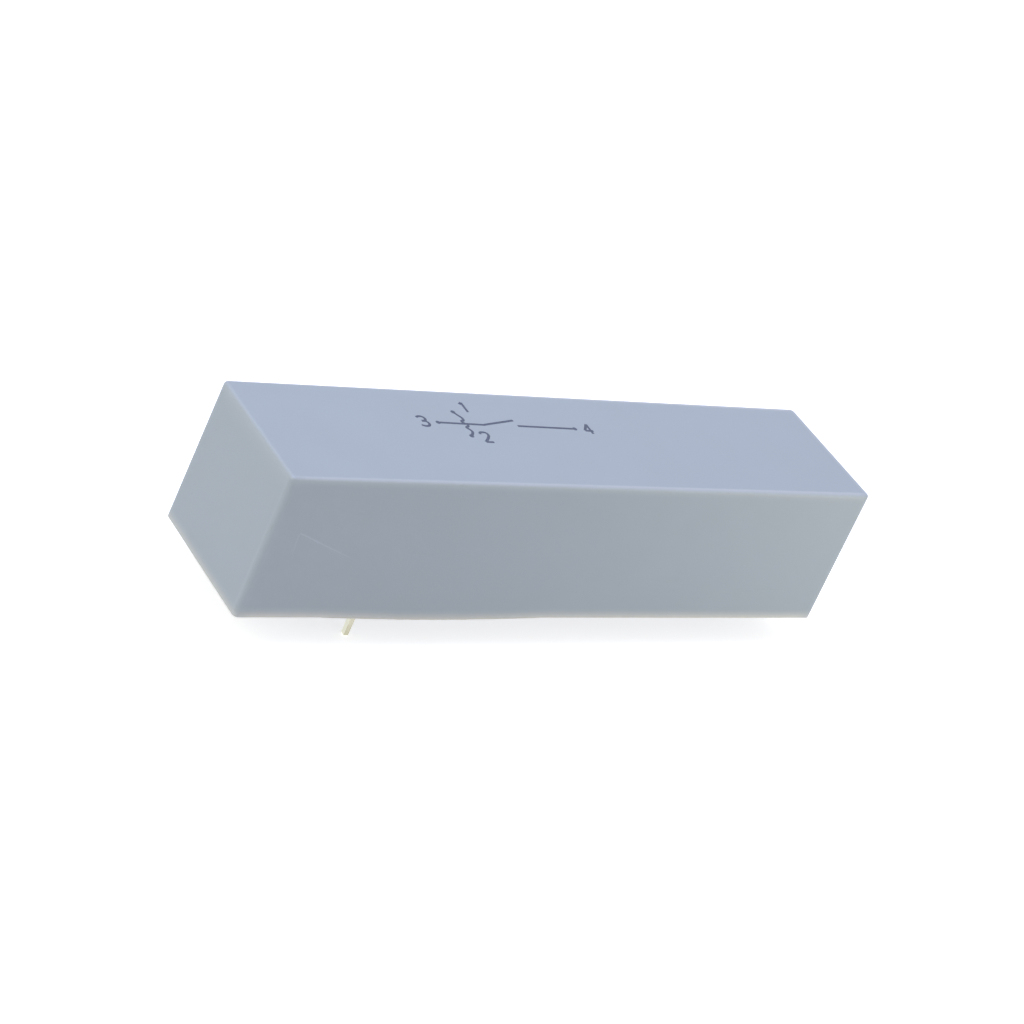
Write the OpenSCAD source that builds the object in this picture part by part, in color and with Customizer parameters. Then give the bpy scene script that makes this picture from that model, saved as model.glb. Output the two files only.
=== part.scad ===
// High voltage reed relay for a circuit board: a potted block with four square terminals.
// The frame stands on the terminal tips: X runs along the block, the printed roof faces +Z.

/* [Case] */
// Length of the case at its open rim
case_l = 66; // [60:0.5:74]
// Width of the case at its open rim
case_w = 14.8; // [13.4:0.1:18]
// Height of the case from its rim to its roof
case_h = 14.8; // [14:0.1:18]
// Thickness of the side and end walls
case_wall = 1; // [0.7:0.1:1.2]
// Thickness of the roof
case_roof = 1.2; // [0.8:0.1:1.6]
// Mould draft of the walls, in degrees
case_draft = 0.7; // [0:0.1:0.9]
// Radius of the four upright corners
corner_r = 0.5; // [0.4:0.1:1]
// Radius round the edge of the roof
roof_edge_r = 0.3; // [0.1:0.05:0.35]
// Depth that the resin lies below the rim
resin_recess = 0.45; // [0.2:0.05:0.8]

/* [Terminals] */
// Side of the square terminal wire
pin_side = 0.5; // [0.4:0.05:0.6]
// Length that the terminals stand out below the rim
pin_length = 3.6; // [2.5:0.1:5]
// Distance from each end of the case to its contact terminal
terminal_inset = 5.06; // [4.6:0.01:6]
// Distance along the case from the left contact terminal to the coil terminals
coil_terminal_step = 8.89; // [7:0.01:11]
// Distance from each side of the case to its coil terminal
coil_terminal_inset = 2.12; // [2:0.01:2.3]
// Inside radius of the bend in the contact terminals
bend_r = 0.4; // [0.2:0.05:0.6]
// Length of each contact terminal beside the reed lead
weld_run = 1.8; // [1.4:0.1:2.2]

/* [Coil] */
// Clearance between the glass and the bore of the coil former
bore_clearance = 0.3; // [0.2:0.05:0.4]
// Wall of the former's tube
tube_wall = 0.8; // [0.6:0.1:0.9]
// Least gap between the flanges and the side walls at the rim
flange_side_gap = 0.6; // [0.45:0.05:0.8]
// Least gap between the flanges and the roof, filled with resin
roof_gap = 0.5; // [0.3:0.1:0.8]
// Height of the flanges' lower edges above the rim
former_rise = 1.9; // [1.4:0.1:2.2]
// Thickness of the former's flanges
flange_t = 1; // [0.7:0.1:1.4]
// Height of the block that holds the coil terminals
block_h = 3.5; // [3:0.1:4]
// Distance from the edge of the flanges in to the top layer of the winding
winding_inset = 0.4; // [0.3:0.05:0.7]
// Thickness of the tape round the winding
tape_t = 0.08; // [0.05:0.01:0.1]
// Diameter of the twisted coil lead
coil_lead_d = 0.24; // [0.16:0.02:0.26]
// Turns of each coil lead round its terminal
wrap_turns = 3; // [2:1:4]

/* [Reed capsule] */
// Outside diameter of the glass envelope
glass_d = 5.4; // [5:0.1:5.6]
// Wall of the glass envelope
glass_wall = 0.65; // [0.5:0.05:0.8]
// Length of solid glass round each lead
seal_l = 3.8; // [3:0.1:4.5]
// Length of the former's tube past each end of the glass
bush_proud = 1.5; // [1.2:0.1:2]
// Diameter of the round reed wire
reed_wire_d = 1; // [0.8:0.05:1.1]
// Width of the flat blades
blade_w = 2.6; // [2.2:0.1:2.8]
// Thickness of the flat blades
blade_t = 0.45; // [0.35:0.05:0.55]
// Width of the blades at the waist where they bend
waist_w = 1.8; // [1.4:0.1:2]
// Overlap of the two blades
overlap = 2.6; // [2:0.1:3]
// Gap between the open contacts
contact_gap = 0.4; // [0.3:0.05:0.5]
// Thickness of the contact plates
plate_t = 0.1; // [0.05:0.01:0.15]

/* [Hidden] */
$fn = 64;
soft_fn = 32;
past = 1;
slab = 0.01;

// Heights, from the terminal tips up
rim_z = pin_length;
roof_z = rim_z + case_h;
cavity_z = roof_z - case_roof;
flange_side = min(
    case_w - 2 * (case_wall + flange_side_gap), case_h - case_roof - roof_gap - former_rise
);
axis_z = rim_z + former_rise + flange_side / 2;

// Case cavity and the resin's hollow surface
cavity_corner_r = 0.4;
cavity_edge_r = 0.3;
edge_steps = 6;
resin_lip = 0.05;
meniscus_h = resin_recess - resin_lip;
meniscus_w = 1.1;
meniscus_steps = 3;
pin_meniscus_w = 0.5;

// Contact terminals, and the welded lap with the reed leads
contact_x = case_l / 2 - terminal_inset;
barrel_clearance = 0.8;
barrel_x = contact_x - pin_side / 2 - barrel_clearance;
bend_mid_r = bend_r + pin_side / 2;
lap_x = contact_x + bend_mid_r + weld_run;
lead_proud = 0.2;
reed_end_x = lap_x + lead_proud;
reed_r = reed_wire_d / 2;
coin_depth = 0.12;
coin_z = axis_z - reed_r + coin_depth;
solder_film = 0.04;
lap_z = coin_z - solder_film;
solder_r = 0.72;
solder_drop = 0.55;
solder_end_l = 0.45;
solder_end_steps = 5;
solder_short = 0.05;
solder_x = contact_x + bend_mid_r + solder_short + solder_end_l;
solder_l = weld_run - 2 * (solder_short + solder_end_l);
tip_chamfer = 0.1;

// Coil former
bore_r = glass_d / 2 + bore_clearance;
tube_r = bore_r + tube_wall;
flange_corner_r = 1.6;
coil_pin_x = contact_x - coil_terminal_step;
coil_pin_y = case_w / 2 - coil_terminal_inset;
block_t = 1.9;
block_margin = 0.37;
block_corner_r = 0.35;
block_w = 2 * coil_pin_y + pin_side + 2 * block_margin;
block_z = rim_z + former_rise;
block_top = block_z + block_h;
flange_out_x = coil_pin_x - block_t / 2;
window_x = flange_out_x - flange_t;
slot_h = 0.6;

// Winding and tape
winding_r = flange_side / 2 - winding_inset;
tape_margin = 0.35;
tape_x = window_x - tape_margin;
tape_lap = 70;

// Coil leads, wrapped round the terminal above the block
lead_r = coil_lead_d / 2;
start_clearance = 0.06;
finish_depth = 0.04;
turn_gap = 0.04;
wrap_clearance = 0.02;
wrap_rise = 0.4;
post_proud = 0.7;
wrap_pitch = coil_lead_d + turn_gap;
wrap_r = pin_side * sqrt(2) / 2 + lead_r + wrap_clearance;
wrap_z = block_top + wrap_rise;
wrap_h = wrap_turns * wrap_pitch;
coil_post_top = wrap_z + wrap_h + post_proud;
lead_sides = 6;
approach_steps = 6;
turn_steps = 12;
blob_cover = 0.1;
blob_margin = 0.18;
blob_r = wrap_r + lead_r + blob_cover;
blob_z = wrap_z - lead_r - blob_margin;
blob_h = wrap_h + 2 * (lead_r + blob_margin);

// Reed capsule, from its ends inwards
glass_r = glass_d / 2;
cavity_r = glass_r - glass_wall;
glass_end_x = barrel_x - bush_proud;
bush_grip = 1.8;
bush_x = glass_end_x - bush_grip;
seal_x = glass_end_x - seal_l;
tip_wall = 0.5;
glass_tip_r = reed_r + tip_wall;
shoulder_l = 2.4;
dome_l = 1.2;
arc_steps = 6;
wire_run = 0.6;
neck_l = 1;
stub_l = 0.5;
neck_x = seal_x - wire_run;
pivot_x = neck_x - neck_l - stub_l;
knuckle_gap = 0.02;
waist_l = 2.4;
waist_blend = 2;
tip_corner_r = 0.5;
plate_margin = 0.1;
plate_side_margin = 0.2;
plate_l = overlap - 2 * plate_margin;
plate_w = blade_w - 2 * plate_side_margin;
plate_corner_r = 0.3;
blade_offset = (blade_t + contact_gap) / 2 + plate_t;

case_colour = [0.64, 0.68, 0.74];
resin_colour = [0.50, 0.54, 0.60];
former_colour = [0.16, 0.17, 0.19];
copper_colour = [0.72, 0.38, 0.20];
tape_colour = [0.85, 0.66, 0.22];
tin_colour = [0.80, 0.79, 0.72];
solder_colour = [0.66, 0.67, 0.68];
glass_colour = [0.62, 0.80, 0.72, 0.4];
silicone_colour = [0.86, 0.84, 0.80];
reed_colour = [0.70, 0.70, 0.68];
contact_colour = [0.86, 0.87, 0.88];

// Profile and placing helpers

// Points of a quarter ellipse from (x0 + w, y0) to (x0, y0 + h)
function quarter(x0, y0, w, h, steps) =
    [for (i = [0 : steps]) [x0 + w * cos(90 * i / steps), y0 + h * sin(90 * i / steps)]];

// The same list read backwards
function turned(list) = [for (i = [len(list) - 1 : -1 : 0]) list[i]];

// Step from 0 to 1 that leaves and arrives level
function eased(t) = t * t * (3 - 2 * t);

module rounded_rect(w, h, r) {
    square([w - 2 * r, h], center = true);
    square([w, h - 2 * r], center = true);
    for (x = [-1, 1], y = [-1, 1])
        translate([x * (w / 2 - r), y * (h / 2 - r)]) circle(r);
}

// A YZ profile pushed along X from x0 to x1
module along_x(x0, x1) {
    translate([x0, 0, 0]) rotate([90, 0, 90]) linear_extrude(x1 - x0) children();
}

// An XZ profile pushed along Y, centred
module along_y(length) {
    translate([0, length / 2, 0]) rotate([90, 0, 0]) linear_extrude(length) children();
}

// A round bar on the capsule's axis
module axis_bar(r, x0, x1) {
    translate([x0, 0, axis_z]) rotate([0, 90, 0]) cylinder(r = r, h = x1 - x0);
}

// Children as seen from the left end, or the mirror image for the right end
module at_end(side) {
    mirror([side > 0 ? 1 : 0, 0, 0]) children();
}

// A reed's own frame: +X to its tip, the capsule's axis at z = 0.
// The right reed is the left one turned half round the Y axis.
module reed_frame(side) {
    translate([0, 0, axis_z]) rotate([0, side > 0 ? 180 : 0, 0]) children();
}

// Case and resin

// One corner post of a drafted box, with its top edge rounded
module box_post(r, edge_r) {
    rotate_extrude($fn = soft_fn)
        polygon(concat(
            [[0, 0]], quarter(r - edge_r, 0, edge_r, edge_r, edge_steps), [[0, edge_r]]
        ));
}

// A box whose walls lean in by the draft, wider at z0 than at z1
module drafted_box(l, w, z0, z1, r, edge_r) {
    lean = (z1 - z0) * tan(case_draft);
    hull() {
        for (x = [-1, 1], y = [-1, 1]) {
            translate([x * (l / 2 - r), y * (w / 2 - r), z0])
                cylinder(r = r, h = slab, $fn = soft_fn);
            translate([x * (l / 2 - r - lean), y * (w / 2 - r - lean), z1 - edge_r])
                box_post(r, edge_r);
        }
    }
}

// The space inside the case, carried on below the rim
module case_cavity() {
    spread = 2 * past * tan(case_draft);
    drafted_box(
        case_l - 2 * case_wall + spread, case_w - 2 * case_wall + spread,
        rim_z - past, cavity_z, cavity_corner_r, cavity_edge_r
    );
}

module case() {
    color(case_colour) difference() {
        drafted_box(case_l, case_w, rim_z, roof_z, corner_r, roof_edge_r);
        case_cavity();
    }
}

// Width in from the wall, and height above the rim, of step i of the resin's meniscus
function meniscus_in(i) = meniscus_w * (1 - cos(90 * i / meniscus_steps));
function meniscus_z(i) = resin_lip + meniscus_h * sin(90 * i / meniscus_steps);

// A thin slab of the dish at step i of the meniscus
module dish_slab(i) {
    l = case_l - 2 * (case_wall + meniscus_in(i));
    w = case_w - 2 * (case_wall + meniscus_in(i));
    translate([0, 0, rim_z + meniscus_z(i) - slab])
        linear_extrude(slab) square([l, w], center = true);
}

// The air below the resin, which climbs the case walls in a hollow curve
module resin_dish() {
    translate([-case_l, -case_w, rim_z - 2 * past])
        cube([2 * case_l, 2 * case_w, 2 * past + resin_lip]);
    for (i = [1 : meniscus_steps])
        hull() {
            dish_slab(i - 1);
            dish_slab(i);
        }
}

// The little cone of resin that climbs a terminal
module pin_meniscus(x, y) {
    foot = pin_side / 2 + pin_meniscus_w;
    translate([x, y, rim_z + resin_lip])
        rotate_extrude()
            polygon(concat(
                [[0, meniscus_h + past], [foot, meniscus_h + past]],
                [for (i = [0 : edge_steps]) [
                    foot - pin_meniscus_w * sin(90 * i / edge_steps),
                    meniscus_h * cos(90 * i / edge_steps)
                ]],
                [[0, 0]]
            ));
}

// Everything that the resin flows round, with the closed capsule as one bar
module cast_in() {
    axis_bar(tube_r, -barrel_x, barrel_x);
    axis_bar(winding_r, -window_x - flange_t / 2, window_x + flange_t / 2);
    tape_body(0);
    former_flanges();
    terminal_block();
    for (side = [-1, 1]) {
        coil_post(side);
        coil_blob(side);
        coil_lead(side);
        reed_wire(side);
        contact_post(side);
        contact_blob(side);
    }
}

module potting_resin() {
    color(resin_colour) difference() {
        union() {
            difference() {
                case_cavity();
                resin_dish();
            }
            for (side = [-1, 1]) {
                pin_meniscus(-coil_pin_x, side * coil_pin_y);
                pin_meniscus(side * contact_x, 0);
            }
        }
        cast_in();
    }
}

// Coil former, winding and tape

// A slot in the left flange that lets a coil lead out of the winding
module lead_slot(side) {
    translate([-flange_out_x - past, side > 0 ? 0 : -flange_side, wrap_z - slot_h / 2])
        cube([flange_t + 2 * past, flange_side, slot_h]);
}

module former_flanges() {
    difference() {
        for (side = [-1, 1])
            at_end(side)
                along_x(-flange_out_x, -window_x)
                    translate([0, axis_z])
                        rounded_rect(flange_side, flange_side, flange_corner_r);
        for (side = [-1, 1])
            lead_slot(side);
    }
}

// The bar across the left flange that the coil terminals are pressed into
module terminal_block() {
    along_x(-flange_out_x - block_t, -flange_out_x)
        translate([0, block_z + block_h / 2])
            rounded_rect(block_w, block_h, block_corner_r);
}

module coil_former() {
    color(former_colour) difference() {
        union() {
            axis_bar(tube_r, -barrel_x, barrel_x);
            former_flanges();
            terminal_block();
        }
        axis_bar(bore_r, -barrel_x - past, barrel_x + past);
        for (side = [-1, 1])
            translate([-coil_pin_x, side * coil_pin_y, block_z + block_h / 2])
                cube([pin_side, pin_side, block_h + 2 * past], center = true);
    }
}

module coil_winding() {
    color(copper_colour) difference() {
        axis_bar(winding_r, -window_x, window_x);
        axis_bar(tube_r, -window_x - past, window_x + past);
    }
}

// The tape's section: one full turn, then a short lap over its own start
module tape_body(hollow_r) {
    along_x(-tape_x, tape_x)
        translate([0, axis_z])
            difference() {
                union() {
                    circle(winding_r + tape_t);
                    intersection() {
                        circle(winding_r + 2 * tape_t);
                        polygon(concat([[0, 0]], [
                            for (a = [0 : tape_lap / 2 : tape_lap])
                                2 * winding_r * [cos(a), sin(a)]
                        ]));
                    }
                }
                if (hollow_r > 0) circle(hollow_r);
            }
}

module coil_tape() {
    color(tape_colour) tape_body(winding_r);
}

// Coil leads and their terminals

// Where a coil lead leaves the winding: the start near the tube, the finish at the top layer
function lead_exit_r(side) =
    side < 0 ? tube_r + lead_r + start_clearance : winding_r - lead_r - finish_depth;
function lead_exit_y(side) = sqrt(pow(lead_exit_r(side), 2) - pow(axis_z - wrap_z, 2));

// The route from the winding to the terminal, then round it, drawn for the front side
function approach_route(side) = [
    for (i = [0 : approach_steps])
        let (t = i / approach_steps, y0 = lead_exit_y(side), y1 = coil_pin_y - wrap_r)
        [-window_x + t * (window_x - coil_pin_x), -(y0 + (y1 - y0) * eased(t)), wrap_z]
];
function wrap_route() = [
    for (i = [1 : wrap_turns * turn_steps])
        let (a = 90 + 360 * i / turn_steps)
        [
            -coil_pin_x + wrap_r * cos(a),
            -coil_pin_y + wrap_r * sin(a),
            wrap_z + wrap_pitch * i / turn_steps
        ]
];

// A round tube along a route that never runs straight up
function heading(route, i) =
    let (a = route[max(i - 1, 0)], b = route[min(i + 1, len(route) - 1)])
    (b - a) / norm(b - a);
function ring(route, i, r) =
    let (t = heading(route, i), s = cross([0, 0, 1], t), u = s / norm(s), v = cross(t, u))
    [for (k = [0 : lead_sides - 1])
        route[i] + r * (cos(360 * k / lead_sides) * u + sin(360 * k / lead_sides) * v)];
module tube(route, r) {
    n = lead_sides;
    last = len(route) - 1;
    points = [for (i = [0 : last]) for (p = ring(route, i, r)) p];
    walls = [for (i = [0 : last - 1], k = [0 : n - 1]) each [
        [i * n + k, (i + 1) * n + k, i * n + (k + 1) % n],
        [i * n + (k + 1) % n, (i + 1) * n + k, (i + 1) * n + (k + 1) % n]
    ]];
    ends = [[for (k = [0 : n - 1]) k], [for (k = [n - 1 : -1 : 0]) last * n + k]];
    polyhedron(points, concat(walls, ends));
}

// The coil lead on one side, out of the winding and round the terminal
module coil_lead(side) {
    mirror([0, side > 0 ? 1 : 0, 0])
        tube(concat(approach_route(side), wrap_route()), lead_r);
}

// The outline of a square wire that stands on a chamfered tip
module wire_outline(top) {
    half = pin_side / 2;
    polygon([
        [-half, top], [-half, tip_chamfer], [-half + tip_chamfer, 0],
        [half - tip_chamfer, 0], [half, tip_chamfer], [half, top]
    ]);
}

module standing_wire(top) {
    intersection() {
        along_y(pin_side) wire_outline(top);
        rotate([0, 0, 90]) along_y(pin_side) wire_outline(top);
    }
}

module coil_post(side) {
    translate([-coil_pin_x, side * coil_pin_y, 0]) standing_wire(coil_post_top);
}

// The bead of solder over the wrapped turns, rounder at its top than at its foot
module coil_blob(side) {
    foot = blob_r / 5;
    cap = blob_r * 0.6;
    translate([-coil_pin_x, side * coil_pin_y, blob_z])
        rotate_extrude()
            polygon(concat(
                [[0, 0], [blob_r - foot, 0]],
                quarter(blob_r - cap, blob_h - cap, cap, cap, 4),
                [[0, blob_h]]
            ));
}

module coil_solder(side) {
    color(solder_colour) difference() {
        coil_blob(side);
        coil_post(side);
        coil_lead(side);
    }
}

// Contact terminals and the lap with the reed leads

// A terminal bent outwards below the end of its reed lead, drawn for the left end
module contact_post(side) {
    bend_z = lap_z - pin_side / 2 - bend_mid_r;
    at_end(side) {
        translate([-contact_x, 0, 0]) standing_wire(bend_z);
        translate([-contact_x - bend_mid_r, 0, bend_z])
            rotate([90, 0, 0])
                rotate_extrude(angle = 90)
                    translate([bend_mid_r, 0]) square(pin_side, center = true);
        translate([-lap_x, -pin_side / 2, lap_z - pin_side])
            cube([weld_run, pin_side, pin_side]);
    }
}

// The round reed wire from the seal outwards, its underside coined flat for the lap
module reed_wire(side) {
    at_end(side) difference() {
        axis_bar(reed_r, -reed_end_x, -neck_x);
        translate([-reed_end_x - past, -reed_r, coin_z - past])
            cube([reed_end_x - contact_x + pin_side / 2 + past, 2 * reed_r, past]);
    }
}

// The solder round the lap, a spindle that also fills the film between lead and terminal
module contact_blob(side) {
    end = quarter(0, 0, solder_r, solder_end_l, solder_end_steps);
    at_end(side)
        translate([-solder_x, 0, axis_z - solder_drop])
            rotate([0, -90, 0])
                rotate_extrude()
                    polygon(concat(
                        [[0, -solder_end_l]],
                        turned([for (p = end) [p[0], -p[1]]]),
                        [for (p = end) [p[0], solder_l + p[1]]]
                    ));
}

module contact_solder(side) {
    color(solder_colour) difference() {
        contact_blob(side);
        contact_post(side);
        reed_wire(side);
    }
}

// Reed capsule

// One end of a bore or a wall in section, as [radius, distance along], from the tip inwards
function shoulder(tip_r, r, tip_x, length) = [
    for (p = quarter(tip_x - length, tip_r, length, r - tip_r, arc_steps)) [p[1], p[0]]
];
function glass_outside() = shoulder(glass_tip_r, glass_r, glass_end_x, shoulder_l);
function glass_inside() = shoulder(reed_r, cavity_r, seal_x, dome_l);
function other_end(list) = [for (p = turned(list)) [p[0], -p[1]]];

// The right half of a section and its mirror image, turned into a solid about the axis
module spun(section) {
    translate([0, 0, axis_z])
        rotate([0, 90, 0])
            rotate_extrude()
                polygon(concat(section, other_end(section)));
}

module glass_body() {
    spun(concat([[0, glass_end_x]], glass_outside()));
}

// The envelope, whose two ends are fused solid round the leads
module capsule_glass() {
    color(glass_colour)
        difference() {
            spun(concat([[reed_r, glass_end_x]], glass_outside()));
            spun(glass_inside());
        }
}

// The soft plug that centres one end of the capsule and keeps the resin out of the bore
module capsule_bush(side) {
    color(silicone_colour) at_end(side) difference() {
        axis_bar(bore_r, -barrel_x, -bush_x);
        glass_body();
        axis_bar(reed_r, -barrel_x - past, -bush_x + past);
    }
}

// The flattened neck inside the seal, from the round wire to the stub at the bend
module reed_neck() {
    hull() {
        translate([-neck_x - slab, 0, 0])
            rotate([0, 90, 0]) cylinder(r = reed_r, h = slab, $fn = soft_fn);
        translate([-neck_x + neck_l, 0, -blade_offset])
            cube([slab, waist_w, blade_t], center = true);
    }
    translate([-neck_x + neck_l, -waist_w / 2, -blade_offset - blade_t / 2])
        cube([stub_l, waist_w, blade_t]);
}

// The fixed part of a reed: its wire, its neck and the hollow seat for the blade's root
module reed_stem(side) {
    color(reed_colour) difference() {
        union() {
            reed_wire(side);
            reed_frame(side) reed_neck();
        }
        reed_frame(side)
            translate([-pivot_x, 0, -blade_offset])
                rotate([90, 0, 0])
                    cylinder(r = blade_t / 2 + knuckle_gap, h = blade_w, center = true);
    }
}

// Half the blade's outline in plan, from the bend to the rounded tip
function blade_side() =
    let (w = blade_w / 2, n = waist_w / 2, x0 = -pivot_x + waist_l)
    concat(
        [[-pivot_x, n]],
        [for (i = [0 : arc_steps])
            let (t = i / arc_steps) [x0 + waist_blend * t, n + (w - n) * eased(t)]],
        turned(quarter(
            overlap / 2 - tip_corner_r, w - tip_corner_r, tip_corner_r, tip_corner_r, arc_steps
        ))
    );

// The part of a reed that moves: a flat paddle on a rounded root
module reed_blade(side) {
    half = blade_side();
    color(reed_colour) reed_frame(side) translate([0, 0, -blade_offset]) {
        translate([0, 0, -blade_t / 2])
            linear_extrude(blade_t)
                polygon(concat(half, [for (p = turned(half)) [p[0], -p[1]]]));
        translate([-pivot_x, 0, 0])
            rotate([90, 0, 0]) cylinder(r = blade_t / 2, h = waist_w, center = true);
    }
}

module contact_plate(side) {
    color(contact_colour)
        reed_frame(side)
            translate([0, 0, -contact_gap / 2 - plate_t])
                linear_extrude(plate_t) rounded_rect(plate_l, plate_w, plate_corner_r);
}

case();
potting_resin();
coil_former();
coil_winding();
coil_tape();
color(copper_colour) coil_lead(-1);  // coil_lead_front
color(copper_colour) coil_lead(1);  // coil_lead_back
color(tin_colour) coil_post(-1);  // coil_terminal_front
color(tin_colour) coil_post(1);  // coil_terminal_back
coil_solder(-1);  // coil_solder_front
coil_solder(1);  // coil_solder_back
color(tin_colour) contact_post(-1);  // contact_terminal_left
color(tin_colour) contact_post(1);  // contact_terminal_right
contact_solder(-1);  // contact_solder_left
contact_solder(1);  // contact_solder_right
capsule_glass();
capsule_bush(-1);  // capsule_bush_left
capsule_bush(1);  // capsule_bush_right
reed_stem(-1);  // reed_stem_left
reed_stem(1);  // reed_stem_right
reed_blade(-1);  // reed_blade_left
reed_blade(1);  // reed_blade_right
contact_plate(-1);  // contact_plate_left
contact_plate(1);  // contact_plate_right
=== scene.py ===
"""Studio scene of a potted reed relay: a finish for each CAD piece, the printing on the roof, the
poured face of the resin, the turns of the coil, two small marks of the moulding, and the set with
its lamps and camera."""

import math
import random

import bmesh
import bpy
from mathutils import Matrix, Quaternion, Vector
from mathutils import noise as field


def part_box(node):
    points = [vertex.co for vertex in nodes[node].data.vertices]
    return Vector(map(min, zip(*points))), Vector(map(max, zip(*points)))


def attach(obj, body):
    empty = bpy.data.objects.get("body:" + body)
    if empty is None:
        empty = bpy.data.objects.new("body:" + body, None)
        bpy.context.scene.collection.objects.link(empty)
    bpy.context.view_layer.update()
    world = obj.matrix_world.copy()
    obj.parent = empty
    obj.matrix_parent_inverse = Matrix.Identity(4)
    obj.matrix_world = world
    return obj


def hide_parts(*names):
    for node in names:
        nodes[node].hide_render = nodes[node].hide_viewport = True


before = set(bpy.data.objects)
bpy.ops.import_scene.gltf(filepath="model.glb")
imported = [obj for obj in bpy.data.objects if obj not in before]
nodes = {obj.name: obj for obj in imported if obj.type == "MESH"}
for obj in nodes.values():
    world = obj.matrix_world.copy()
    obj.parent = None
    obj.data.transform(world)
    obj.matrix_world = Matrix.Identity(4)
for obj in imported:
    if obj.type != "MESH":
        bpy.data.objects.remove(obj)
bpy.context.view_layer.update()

MM = 0.001
case_low, case_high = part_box("case")
case_middle = (case_low + case_high) / 2
case_height = case_high.z - case_low.z

# Sizes of the relay
CASE_DRAFT = math.radians(0.7)
CASE_WALL = 1.0 * MM
WIRE_HALF = 0.25 * MM
RESIN_RECESS = 0.45 * MM
RESIN_LIP = 0.05 * MM
MENISCUS_WIDTH = 1.1 * MM
WIRE_MENISCUS = 0.5 * MM
TUBE_RADIUS = 3.8 * MM

# The flash that hangs below the front rim: a bow FLASH_DROP deep and twice FLASH_REACH long
FLASH_MIDDLE = -12.1 * MM
FLASH_REACH = 12 * MM
FLASH_DROP = 0.25 * MM

# Turned pieces: the steps of a full turn, and how near points have to be to become one
TURNED_STEPS = 96
MERGE_WITHIN = 0.001 * MM


# Colour, node and mesh helpers


def linear(hex_colour):
    """An sRGB hex colour as the linear values that Blender's sockets take."""
    channels = [int(hex_colour[i : i + 2], 16) / 255 for i in (1, 3, 5)]
    return [c / 12.92 if c <= 0.04045 else ((c + 0.055) / 1.055) ** 2.4 for c in channels] + [1]


def per(size_mm):
    """The scale at which a pattern on Object coordinates repeats every size_mm."""
    return 1 / (size_mm * MM)


def add(tree, kind, inputs, out=0, **settings):
    """A node with its settings and links. An input takes a value, or the output that feeds it.
    The number or name in out says which output comes back, and None gives all of them."""
    made = tree.nodes.new("ShaderNode" + kind)
    for name, value in settings.items():
        setattr(made, name, value)
    for socket, value in inputs.items():
        if isinstance(value, bpy.types.NodeSocket):
            tree.links.new(value, made.inputs[socket])
        else:
            made.inputs[socket].default_value = value
    return made.outputs if out is None else made.outputs[out]


def material(name, colour, roughness, **sockets):
    """A material with its shader's own sockets set, its node tree and Object coordinates."""
    made = bpy.data.materials.new(name)
    made.use_nodes = True
    tree = made.node_tree
    shader = tree.nodes["Principled BSDF"]
    shader.inputs["Base Color"].default_value = linear(colour)
    shader.inputs["Roughness"].default_value = roughness
    for socket, value in sockets.items():
        shader.inputs[socket.replace("_", " ")].default_value = value
    return made, tree, shader, add(tree, "TexCoord", {}, out="Object")


def feed(tree, shader, **sources):
    """Link outputs to the shader's sockets."""
    for socket, source in sources.items():
        tree.links.new(source, shader.inputs[socket.replace("_", " ")])


def finish_in(made, *names):
    """CAD nodes take this material."""
    for name in names:
        nodes[name].data.materials.clear()
        nodes[name].data.materials.append(made)


def piece(name, shape, made):
    """A bmesh made into a piece of the relay that stays with its fixed body."""
    mesh = bpy.data.meshes.new(name)
    shape.to_mesh(mesh)
    shape.free()
    mesh.materials.append(made)
    shown = bpy.data.objects.new(name, mesh)
    bpy.context.scene.collection.objects.link(shown)
    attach(shown, "root")
    return shown


def turned(profile, middle):
    """A closed profile of [along X, radius] points spun round the X axis through middle."""
    shape = bmesh.new()
    points = [shape.verts.new((x, middle.y, middle.z + r)) for x, r in profile]
    edges = [shape.edges.new((a, b)) for a, b in zip(points, points[1:] + points[:1])]
    bmesh.ops.spin(
        shape, geom=points + edges, cent=middle, axis=(1, 0, 0),
        angle=math.tau, steps=TURNED_STEPS, use_merge=True,
    )
    bmesh.ops.remove_doubles(shape, verts=shape.verts, dist=MERGE_WITHIN)
    bmesh.ops.recalc_face_normals(shape, faces=shape.faces)
    for face in shape.faces:
        face.smooth = True
    return shape


# Finishes of the pieces

# The wire's real pitch is about 0.06 mm, and its turns are drawn coarser, so that they show
TURN_PITCH = 0.3
# Blender's wave texture repeats 20 / (2 pi) times as often as its scale says
WAVE_REPEAT = 20 / math.tau

# Painted light that all of the case shares, the edge highlights and the rim's reflection: its
# ragged limits, and how much weaker it is on the end walls, where END_ZONE says how far in from
# them it is weakest and how far in it is whole again
PAINTED_LIGHT_RAGGED = 0.05 * MM
END_SHARE = 0.45
END_ZONE = (0.2 * MM, 1.5 * MM)

# The painted highlight on the roof's edge begins HIGHLIGHT_INSET in from the walls, at the left
# end and at the right one. HIGHLIGHT_ZONE says how far from there it starts to weaken, and how
# far off it is gone. HIGHLIGHT_TINT is how much of the pale colour it gets, and HIGHLIGHT_POLISH
# what its roughness loses.
HIGHLIGHT_INSET = (0.1 * MM, 0.3 * MM)
HIGHLIGHT_ZONE = (0.08 * MM, 0.34 * MM)
HIGHLIGHT_TINT = 0.5
HIGHLIGHT_POLISH = 0.08

# Round the painted highlight the walls are painted a little pale for FADE_REACH, and the roof for
# a part of that
FADE_REACH = 1.0 * MM
FADE_SHORTER_ON_ROOF = 3.0
FADE_CURVE = 2.0
FADE_TINT = 0.55

# The upright edges get a faint painted highlight too, and UPRIGHT_ZONE is their HIGHLIGHT_ZONE
UPRIGHT_ZONE = (0.1 * MM, 0.9 * MM)
UPRIGHT_TINT = 0.12

# The rim's painted reflection is palest at the rim's lower edge, and has the wall's colour again
# RIM_REFLECTION_REACH above it. On the end walls it is weaker too, but for the share
# RIM_REFLECTION_KEPT.
RIM_REFLECTION_REACH = 1.2 * MM
RIM_REFLECTION_CURVE = 2.0
RIM_REFLECTION_KEPT = 0.36

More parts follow.
